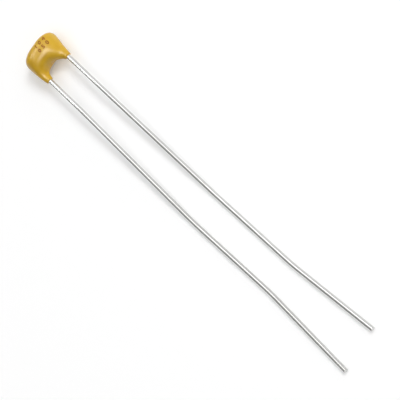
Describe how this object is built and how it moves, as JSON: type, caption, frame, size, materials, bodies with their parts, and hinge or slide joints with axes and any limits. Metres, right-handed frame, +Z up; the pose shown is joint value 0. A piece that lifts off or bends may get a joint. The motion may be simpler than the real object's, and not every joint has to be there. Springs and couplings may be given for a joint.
{
  "type": "radial multilayer ceramic capacitor",
  "caption": "Small dipped ceramic capacitor: a glossy mustard-yellow pillow of epoxy with legs running onto long straight tinned wires, lying on its broad face.",
  "frame": {"origin": "middle of the footprint, on the surface that the part lies on", "axes": "+X along the wires from the coat to their tips, +Y across the wires, +Z up from the surface, across the coat's thickness"},
  "size_m": [0.0374, 0.0042, 0.0022],
  "materials": {
    "coat": "glossy dipped epoxy, mustard yellow",
    "ceramic": "fired, matt",
    "cap_metal": "fired silver under tin, satin",
    "solder": "satin solder",
    "tinned_wire": "bright tin plate on copper"
  },
  "bodies": {
    "root": {"epoxy_coating": "coat", "ceramic_chip": "ceramic", "end_termination_left": "cap_metal", "end_termination_right": "cap_metal", "solder_joint_left": "solder", "solder_joint_right": "solder", "lead_left": "tinned_wire", "lead_right": "tinned_wire"}
  },
  "joints": []
}
